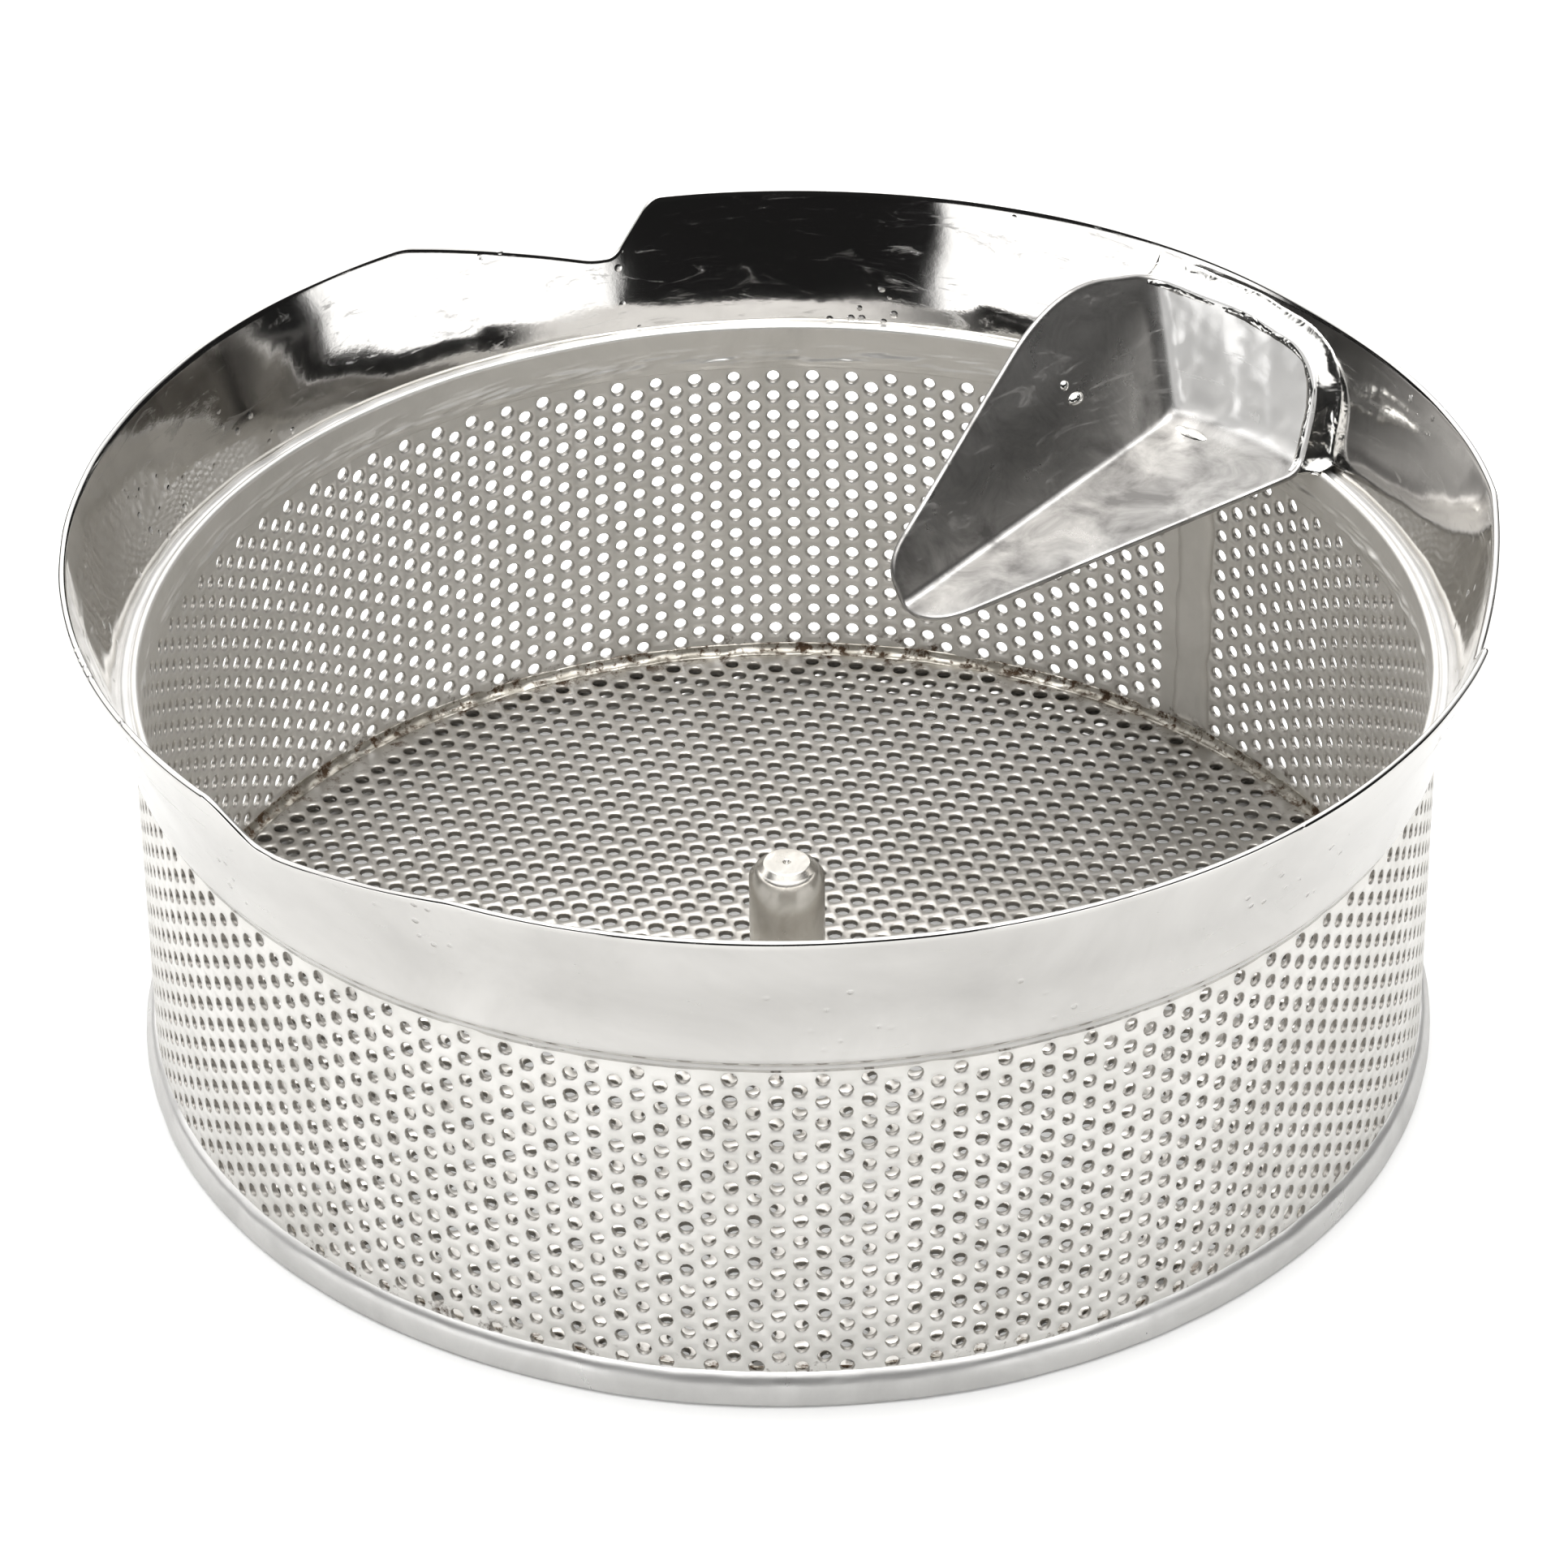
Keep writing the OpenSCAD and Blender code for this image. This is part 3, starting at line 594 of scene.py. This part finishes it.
def collar_mid(z, az):
    """Radius of the middle of the collar's sheet: the skirt's line and the flare's line,
    the greater of the two, eased into each other, pressed in by up to 1 mm behind the
    deflector and slightly out of round."""
    skirt = SKIRT_R + (BEND_R - SKIRT_R) * (z - SKIRT_Z) / (BEND_Z - SKIRT_Z)
    flare = BEND_R + (TOP_R - BEND_R) * (z - BEND_Z) / (RIM_H - BEND_Z)
    gap = np.abs(skirt - flare)
    mid = np.maximum(skirt, flare) + np.clip(0.7 - gap, 0, None) ** 2 / 2.8
    up = np.clip((z - BEND_Z) / (RIM_H - BEND_Z), 0, 1)
    mid = mid - 1.0 * np.exp(-((az - 38) / 17) ** 2) * up ** 1.5
    place = np.stack([90 * np.cos(az * DEG), 90 * np.sin(az * DEG), z], -1)
    return mid - 0.10 * up * (1 + waves(place, 55, 51)) - 0.05 * up * waves(place, 17, 52)


AROUND = 1080
az = np.arange(AROUND) * 360 / AROUND - 180
top = rim_height(az)
rise = np.concatenate([np.linspace(0, 0.42, 18), np.linspace(0.46, 1, 22)])
zs = SKIRT_Z + 0.5 + (top - 0.5 - SKIRT_Z - 0.5)[None, :] * rise[:, None]
azs = np.broadcast_to(az, zs.shape)
mids = collar_mid(zs, azs)
slope = (collar_mid(zs + 0.2, azs) - collar_mid(zs - 0.2, azs)) / 0.4
norm = np.sqrt(1 + slope ** 2)
out_r, out_z = 1 / norm, -slope / norm
up_r, up_z = slope / norm, 1 / norm
half = HALF_SHEET + 0.03 * waves(np.stack([80 * np.cos(azs * DEG), 80 * np.sin(azs * DEG), zs], -1),
                                 12, 53)


def collar_side(sign):
    """Points of one side of the collar: half the thickness off the middle."""
    return mids + sign * half * out_r, zs + sign * half * out_z


def collar_edge(row, sign, direction):
    """A half round over the collar's upper or lower edge."""
    first, last = (0, np.pi) if direction > 0 else (np.pi, 0)
    turn = np.linspace(first, last, 7)[1:-1, None]
    c, s = np.cos(turn) * sign, np.sin(turn) * direction
    return (mids[row] + half[row] * (c * out_r[row] + s * up_r[row]),
            zs[row] + half[row] * (c * out_z[row] + s * up_z[row]))


inner_r, inner_h = collar_side(-1)
outer_r, outer_h = collar_side(1)
cap_r, cap_h = collar_edge(-1, -1, 1)
foot_r, foot_h = collar_edge(0, -1, -1)
loop_r = np.concatenate([inner_r, cap_r, outer_r[::-1], foot_r])
loop_h = np.concatenate([inner_h, cap_h, outer_h[::-1], foot_h])
collar = np.stack([loop_r * np.cos(az * DEG), loop_r * np.sin(az * DEG), loop_h], -1)
make_piece("flared_collar", collar.reshape(-1, 3), [grid_faces(len(loop_r), AROUND, True, True)[:, ::-1]],
           bright_collar, ["rim_flange"])

# The tin under the skirt, smoothed down onto the wall
under = np.array([[-0.3, 0.8], [-0.3, -1.9], [0.02, -1.9], [0.14, -1.2], [0.45, -0.4], [0.95, 0.15],
                  [1.2, 0.6], [1.0, 0.9]]) + [WALL_R, SKIRT_Z]
ring = turned(under, RING_AROUND)
r = np.hypot(ring[..., 0], ring[..., 1])
bulge = (0.07 * waves(ring, 14, 61) + 0.04 * waves(ring, 5, 62)) * (r > WALL_R) * (r < WALL_R + 1.1)
ring[..., :2] *= ((r + bulge) / r)[..., None]
make_piece("skirt_tin", ring.reshape(-1, 3), [grid_faces(len(under), RING_AROUND, True, True)],
           bright_collar, ["rim_solder"])

# Tin drawn into the lap between the wall and the skirt, with a hollow surface
inner_foot = SKIRT_R - HALF_SHEET + 0.25
lap = np.array([[WALL_R - 0.02, SKIRT_Z + 1.0], [WALL_R - 0.02, WALL_TOP - 0.45],
                [WALL_R + 0.25, WALL_TOP - 0.85], [WALL_R + 0.75, WALL_TOP - 0.9],
                [WALL_R + 1.3, WALL_TOP - 0.5], [inner_foot, SKIRT_Z + 1.0]])
ring = turned(lap, RING_AROUND)
ring[..., 2] += 0.12 * waves(ring, 11, 63) * (ring[..., 2] > WALL_TOP - 1)
make_piece("lap_tin", ring.reshape(-1, 3), [grid_faces(len(lap), RING_AROUND, True, True)[:, ::-1]],
           tinned_band, ["rim_solder"])

# The deflector ------------------------------------------------------------------------


def around_axis(r, at, z):
    """A point from its distance, direction and height."""
    return np.array([r * np.cos(at * DEG), r * np.sin(at * DEG), z])


# The crease runs from TIP to FOOT. The raised face goes up from it to CREST, the low face
# across to LOW, and the tab stands between FOOT, CREST and LOW in front of the collar
FOOT_R, FOOT_Z = WALL_IN - 2.6, WALL_TOP - 2.4
CREST_Z = RIM_H - 3.2
CREST_R = collar_mid(np.array([CREST_Z]), np.array([54.0]))[0] - HALF_SHEET - 3.0
TIP = around_axis(33, 57.5, WALL_TOP - 11.5)
FOOT = around_axis(FOOT_R, 48.5, FOOT_Z)
CREST = around_axis(CREST_R, 54.3, CREST_Z)
LOW = around_axis(FOOT_R, 31.2, WALL_TOP - 0.3)
CREASE = np.linalg.norm(FOOT - TIP)


def unit(v):
    """Vectors scaled to a length of 1."""
    return v / np.linalg.norm(v, axis=-1, keepdims=True)


def plane_point(toward, x, y):
    """A point in the plane of TIP, FOOT and a third point: x along the crease, y off it."""
    along = unit(FOOT - TIP)
    off = toward - TIP - along * ((toward - TIP) @ along)
    return TIP + along * x + unit(off) * y


raised_n = unit(np.cross(FOOT - TIP, CREST - TIP))
low_n = unit(np.cross(LOW - TIP, FOOT - TIP))
tab_n = unit(np.cross(CREST - FOOT, LOW - FOOT))
tab_n = tab_n if tab_n[:2] @ FOOT[:2] < 0 else -tab_n
raised_n = raised_n if raised_n[2] > 0 else -raised_n
low_n = low_n if low_n[2] > 0 else -low_n
# The sheet's own plane, between its three faces: UP stands on it, SIDE and BACK lie in it
UP = unit(raised_n + low_n + tab_n)
SIDE = unit(np.cross([0, 0, 1.0], UP))
BACK = np.cross(UP, SIDE)


def rounded_outline(points, radii, count):
    """An outline with its corners rounded, resampled to evenly spaced points: each corner
    is a quadratic curve between points `radius` away on its two sides."""
    points = np.asarray(points, float)
    before, after = np.roll(points, 1, 0), np.roll(points, -1, 0)
    curve = []
    for p, a, b, r in zip(points, before, after, radii):
        ta, tb = np.linalg.norm(a - p), np.linalg.norm(b - p)
        start, end = p + (a - p) * min(r / ta, 0.49), p + (b - p) * min(r / tb, 0.49)
        t = np.linspace(0, 1, 13)[:, None]
        curve.append(start * (1 - t) ** 2 + 2 * p * t * (1 - t) + end * t ** 2)
    curve = np.vstack(curve)
    closed = np.vstack([curve, curve[:1]])
    length = np.concatenate([[0], np.cumsum(np.linalg.norm(np.diff(closed, axis=0), axis=1))])
    at = np.linspace(0, length[-1], count, endpoint=False)
    return np.stack([np.interp(at, length, closed[:, i]) for i in range(2)], 1)


def flat_of(p):
    """A point's place in the sheet's own plane."""
    return np.array([p @ SIDE, p @ BACK])


def tab_radius(z):
    """Radius of the tab's sheet at a height, on a cone in front of the collar."""
    return FOOT_R + (CREST_R - FOOT_R) * (z - FOOT_Z) / (CREST_Z - FOOT_Z)


corner_far = around_axis(tab_radius(CREST_Z - 0.3), 33.5, CREST_Z - 0.3)
outline_key = [TIP, plane_point(CREST, 0.8, 6.8), plane_point(CREST, CREASE - 8.5, 26.6),
               CREST, around_axis(tab_radius(CREST_Z), 44, CREST_Z), corner_far,
               LOW, plane_point(LOW, 2.0, 8.2), plane_point(LOW, -0.8, 4.5)]
outline_round = [1.5, 4.5, 13, 3.5, 2, 15, 1.5, 3.5, 2.0]
outline = rounded_outline([flat_of(p) for p in outline_key], outline_round, 420)


def soft_max(a, b, reach):
    """The greater of two heights, rounded where they meet over `reach` mm."""
    return np.maximum(a, b) + np.clip(reach - np.abs(a - b), 0, None) ** 2 / (4 * reach)


def sheet_height(flat, share=False):
    """Height of the folded sheet over its own plane: the soft maximum of the raised face,
    the low face and the tab, whose cone is met by stepping towards it. Where share is
    true, it gives how far each point belongs to the tab instead."""
    start = flat[..., :1] * SIDE + flat[..., 1:] * BACK
    raised = ((TIP - start) @ raised_n) / (UP @ raised_n)
    low = ((TIP - start) @ low_n) / (UP @ low_n)
    tab = ((FOOT - start) @ tab_n) / (UP @ tab_n)
    # Newton's method: each step is the gap over its rate of change, and at most 6 mm long
    for _ in range(6):
        p = start + tab[..., None] * UP
        gap = np.hypot(p[..., 0], p[..., 1]) - tab_radius(p[..., 2])
        q = p + 0.05 * UP
        rate = (np.hypot(q[..., 0], q[..., 1]) - tab_radius(q[..., 2]) - gap) / 0.05
        tab = tab - np.clip(gap / np.where(np.abs(rate) < 0.2, 0.2 * np.sign(rate + 1e-9), rate), -6, 6)
    height = soft_max(raised, low, 1.6)
    lumps = step_up(tab - height, -0.5, 1.5)
    if share:
        return lumps
    height = soft_max(height, tab, 3.6)
    p = start + height[..., None] * UP
    height = height + lumps * (0.12 * waves(p, 7.5, 71) + 0.04 * waves(p, 3.2, 72))
    return height + 0.16 * waves(p, 38, 73) + 0.04 * waves(p, 9, 74)


def sheet_point(flat):
    """The folded sheet's middle, in space."""
    return flat[..., :1] * SIDE + flat[..., 1:] * BACK + sheet_height(flat)[..., None] * UP


def sheet_normal(flat):
    """The sheet's own direction, from its slopes a small step to each side."""
    step = 0.15
    dx = sheet_point(flat + [step, 0]) - sheet_point(flat - [step, 0])
    dy = sheet_point(flat + [0, step]) - sheet_point(flat - [0, step])
    return unit(np.cross(dx, dy))


knee = flat_of(FOOT)
share = np.concatenate([np.linspace(0.02, 0.9, 46), np.linspace(0.92, 1, 6)])
flat_grid = knee + share[:, None, None] * (outline - knee)
middle = sheet_point(flat_grid)
direction = sheet_normal(flat_grid)
edge_along = unit(np.roll(middle[-1], -1, 0) - np.roll(middle[-1], 1, 0))
edge_out = unit(np.cross(edge_along, direction[-1]))
edge_out *= np.sign(np.sum(edge_out * (middle[-1] - middle[-3]), -1, keepdims=True))
lip = [middle[-1] + HALF_SHEET * (np.cos(w) * direction[-1] + np.sin(w) * edge_out)
       for w in np.linspace(0, np.pi, 7)[1:-1]]
rings = np.concatenate([middle + HALF_SHEET * direction, lip, (middle - HALF_SHEET * direction)[::-1]])
knee_n = sheet_normal(knee[None])[0]
knee_p = sheet_point(knee[None])[0]
points, faces = poled(rings, knee_p + HALF_SHEET * knee_n, knee_p - HALF_SHEET * knee_n)
inward = np.sum((rings[1, 0] - rings[0, 0]) * np.cross(rings[0, 1] - rings[0, 0], direction[0, 0]))
ordered = faces if inward < 0 else [f[:, ::-1] for f in faces]
wing = make_piece("folded_deflector", points, ordered, dull_deflector, ["deflector"])

# The tab is wetted by the tin that holds it: each ring of points carries its share of that
tinned = sheet_height(flat_grid, share=True)
tinned = np.concatenate([tinned, np.repeat(tinned[-1:], 5, 0), tinned[::-1]]).ravel()
mark_points(wing, "tinned", np.append(tinned, [0, 0]))

# The tin round the tab: from the tab's face over its edge and down to the collar
path_from = np.argmin(np.linalg.norm(outline - flat_of(CREST), axis=1))
path_to = np.argmin(np.linalg.norm(outline - flat_of(LOW), axis=1))
count_path = (path_to - path_from) % len(outline)
pick = (path_from + np.arange(-2, count_path + 3)) % len(outline)
edge_p, edge_n, edge_o = middle[-1][pick], direction[-1][pick], edge_out[pick]


def to_collar(p, depth):
    """Moves points out to the collar's inner face, or depth mm into its sheet."""
    r, at = polar(p[..., 0], p[..., 1])
    target = collar_mid(np.clip(p[..., 2], SKIRT_Z, RIM_H), at) - HALF_SHEET + depth
    target = np.where(p[..., 2] < WALL_TOP + 0.6, WALL_IN + depth, target)
    return np.concatenate([p[..., :2] * (target / r)[..., None], p[..., 2:]], -1)


t = np.linspace(0, 1, 9)[:, None, None]
over = edge_p - 1.2 * edge_o + 0.46 * edge_n
crown = edge_p - 0.45 * edge_o + 0.66 * edge_n
brow = edge_p + 0.4 * edge_o + 0.22 * edge_n
spread = edge_p + 2.3 * edge_o
spread[:, 2] = np.minimum(spread[:, 2], RIM_H - 0.5)
foot_line = to_collar(spread, 0.02)
inner_knee = to_collar(edge_p + 0.6 * edge_o, 0) * 0.7 + 0.3 * brow
slide = brow * (1 - t) ** 2 + 2 * inner_knee * t * (1 - t) + foot_line * t ** 2
behind = to_collar(edge_p - 2.5 * edge_o, 0.4)
section = np.concatenate([over[None], crown[None], slide, to_collar(spread, 0.4)[None], behind[None],
                          (edge_p - 2.5 * edge_o)[None]])
swell = 0.14 * waves(section, 7, 81) + 0.05 * waves(section, 2.6, 82)
section[1:8] += (swell[..., None] * edge_n)[1:8]
rows, cols = section.shape[:2]
ends = []
for end, flip in ((0, 1), (cols - 1, -1)):
    first = np.full(rows - 2, end)
    end_fan = np.stack([first, np.arange(1, rows - 1) * cols + end, np.arange(2, rows) * cols + end], 1)
    ends.append(end_fan[:, ::flip])
make_piece("tab_tin", section.reshape(-1, 3), [grid_faces(rows, cols, True, False)] + ends,
           thick_tin, ["deflector_solder"])


def tin_blob(name, toward, x, y, long, wide, high, heading):
    """A drop of tin on the deflector: an oval dome on its face, slightly uneven."""
    centre = plane_point(toward, x, y)
    flat = flat_of(centre)
    across_face = sheet_normal(flat[None])[0]
    a1 = unit(np.cross(across_face, UP + [0.3, 0.1, 0])) if heading is None else unit(heading)
    a2 = np.cross(across_face, a1)
    base = sheet_point(flat[None])[0] + across_face * (HALF_SHEET - 0.15)
    tilt = np.linspace(-20, 84, 10)[:, None] * DEG
    turn = np.arange(28)[None, :] * TURN / 28
    dome = (base + (np.cos(tilt) * np.cos(turn) * long)[..., None] * a1
            + (np.cos(tilt) * np.sin(turn) * wide)[..., None] * a2
            + (np.sin(tilt) * high + 0 * turn)[..., None] * across_face)
    dome = dome + 0.12 * waves(dome, 3, 91)[..., None] * across_face
    top_p, low_p = base + across_face * high, base - across_face * high * 0.35
    pts, fcs = poled(dome, low_p, top_p)
    make_piece(name, pts, fcs, thick_tin, ["deflector_tin_drops"])


tin_blob("tin_drop_upper", CREST, CREASE - 14.9, 13.6, 0.9, 0.8, 0.6, None)
tin_blob("tin_drop_lower", CREST, CREASE - 14.2, 11.0, 1.5, 1.0, 0.75, FOOT - TIP)
tin_blob("tin_drop_bend", LOW, CREASE - 2.3, 6.0, 3.4, 1.1, 0.55, LOW - FOOT)

# The washer keeps its CAD shape
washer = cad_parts["pin_washer"]
washer.data.materials.clear()
washer.data.materials.append(tinned_pin)

# The studio ---------------------------------------------------------------------------

floor_mesh = bpy.data.meshes.new("floor")
FLOOR_R = 0.62
FLOOR_SIDES = 96
spread = np.arange(FLOOR_SIDES) * TURN / FLOOR_SIDES
floor_mesh.from_pydata(np.stack([FLOOR_R * np.cos(spread), FLOOR_R * np.sin(spread), 0 * spread], 1),
                       [], [range(FLOOR_SIDES)])
floor = bpy.data.objects.new("floor", floor_mesh)
bpy.context.scene.collection.objects.link(floor)
paper = bpy.data.materials.new("white_paper_sweep")
paper.use_nodes = True
sweep = paper.node_tree
sheen = sweep.nodes["Principled BSDF"]
sheen.inputs["Base Color"].default_value = linear("#e2e2e1")
sheen.inputs["Roughness"].default_value = 0.9
# A glow that only the camera sees, weaker under the basket, keeps the shadow on the table faint
table = add(sweep, "ShaderNodeTexCoord").outputs["Object"]
away = add(sweep, "ShaderNodeVectorMath", {0: table}, operation="LENGTH").outputs["Value"]
glow = add(sweep, "ShaderNodeMapRange", {"Value": away, "From Min": 0.092, "From Max": 0.108,
                                         "To Min": 0.2, "To Max": 0.7}).outputs["Result"]
direct = add(sweep, "ShaderNodeLightPath").outputs["Is Camera Ray"]
glow = add(sweep, "ShaderNodeMath", {0: glow, 1: direct}, operation="MULTIPLY").outputs["Value"]
sweep.links.new(glow, sheen.inputs["Emission Strength"])
sheen.inputs["Emission Color"].default_value = (1, 1, 1, 1)
floor_mesh.materials.append(paper)

world = bpy.data.worlds.new("soft_studio")
bpy.context.scene.world = world
world.use_nodes = True
sky = world.node_tree
look = add(sky, "ShaderNodeTexCoord").outputs["Generated"]
height = add(sky, "ShaderNodeSeparateXYZ", {0: look}).outputs["Z"]
way = add(sky, "ShaderNodeTexGradient", {"Vector": look}, gradient_type="RADIAL").outputs["Fac"]


HALF_EDGE = 0.003


def ring_stops(pairs):
    """Colour stops from (direction in degrees, brightness) pairs. An edge is two HALF_EDGEs of
    the full turn wide, which is about 2 degrees."""
    stops, last = [], None
    for start, level in pairs:
        at = (start + 180) / 360
        if last is not None:
            stops.append((max(at - HALF_EDGE, 0), (last,)))
        stops.append((min(at + HALF_EDGE, 1), (level,)))
        last = level
    return stops


# Near the horizon bright panels stand between black flags. Above them the front is dark and
# the back is a soft box, and the ceiling is bright all over
near_ring = [(-180, 0.008), (-176, 1.0), (-116, 0.008), (-62, 1.0), (-12, 0.008), (74, 1.0), (104, 0.008)]
near = add(sky, "ShaderNodeValToRGB", {"Fac": way}, stops=ring_stops(near_ring)).outputs["Color"]
mid = add(sky, "ShaderNodeValToRGB", {"Fac": way}, stops=[
    (0.0, (0.01,)), (0.56, (0.01,)), (0.62, (0.35,)), (0.68, (0.9,)), (0.96, (0.9,)), (0.985, (0.3,)),
    (1.0, (0.01,))]).outputs["Color"]
to_mid = add(sky, "ShaderNodeMapRange", {"Value": height, "From Min": 0.21,
                                         "From Max": 0.25}).outputs["Result"]
to_top = add(sky, "ShaderNodeMapRange", {"Value": height, "From Min": 0.68,
                                         "From Max": 0.78}).outputs["Result"]
lower = add(sky, "ShaderNodeMix", {"Factor": to_mid, "A": near, "B": mid}, data_type="RGBA").outputs["Result"]
whole = add(sky, "ShaderNodeMix", {"Factor": to_top, "A": lower, "B": (1.0, 1.0, 1.0, 1)},
            data_type="RGBA").outputs["Result"]
# The camera itself sees an even pale background in place of the panels
seen = add(sky, "ShaderNodeLightPath").outputs["Is Camera Ray"]
shown = add(sky, "ShaderNodeMix", {"Factor": seen, "A": whole, "B": (0.66, 0.66, 0.66, 1)},
            data_type="RGBA").outputs["Result"]
back = sky.nodes["Background"]
sky.links.new(shown, back.inputs["Color"])
back.inputs["Strength"].default_value = 1.7

light_data = bpy.data.lights.new("overhead_soft_box", "AREA")
light_data.shape = "RECTANGLE"
light_data.size, light_data.size_y = 2.4, 2.4
light_data.energy = 66
light = bpy.data.objects.new("overhead_soft_box", light_data)
light.matrix_world = Matrix.Translation((0.0, 0.1, 3.0))
bpy.context.scene.collection.objects.link(light)

camera_data = bpy.data.cameras.new("camera")
camera_data.lens, camera_data.sensor_width = 144.77, 36.0
camera_data.clip_start = 0.05
camera = bpy.data.objects.new("camera", camera_data)
camera.matrix_world = (Matrix.Translation((-0.00028, -0.75165, 0.53703))
                       @ Matrix.Rotation(56.451 * DEG, 4, "X") @ Matrix.Rotation(-0.573 * DEG, 4, "Z"))
bpy.context.scene.collection.objects.link(camera)
bpy.context.scene.camera = camera
bpy.context.scene.view_settings.view_transform = "Standard"
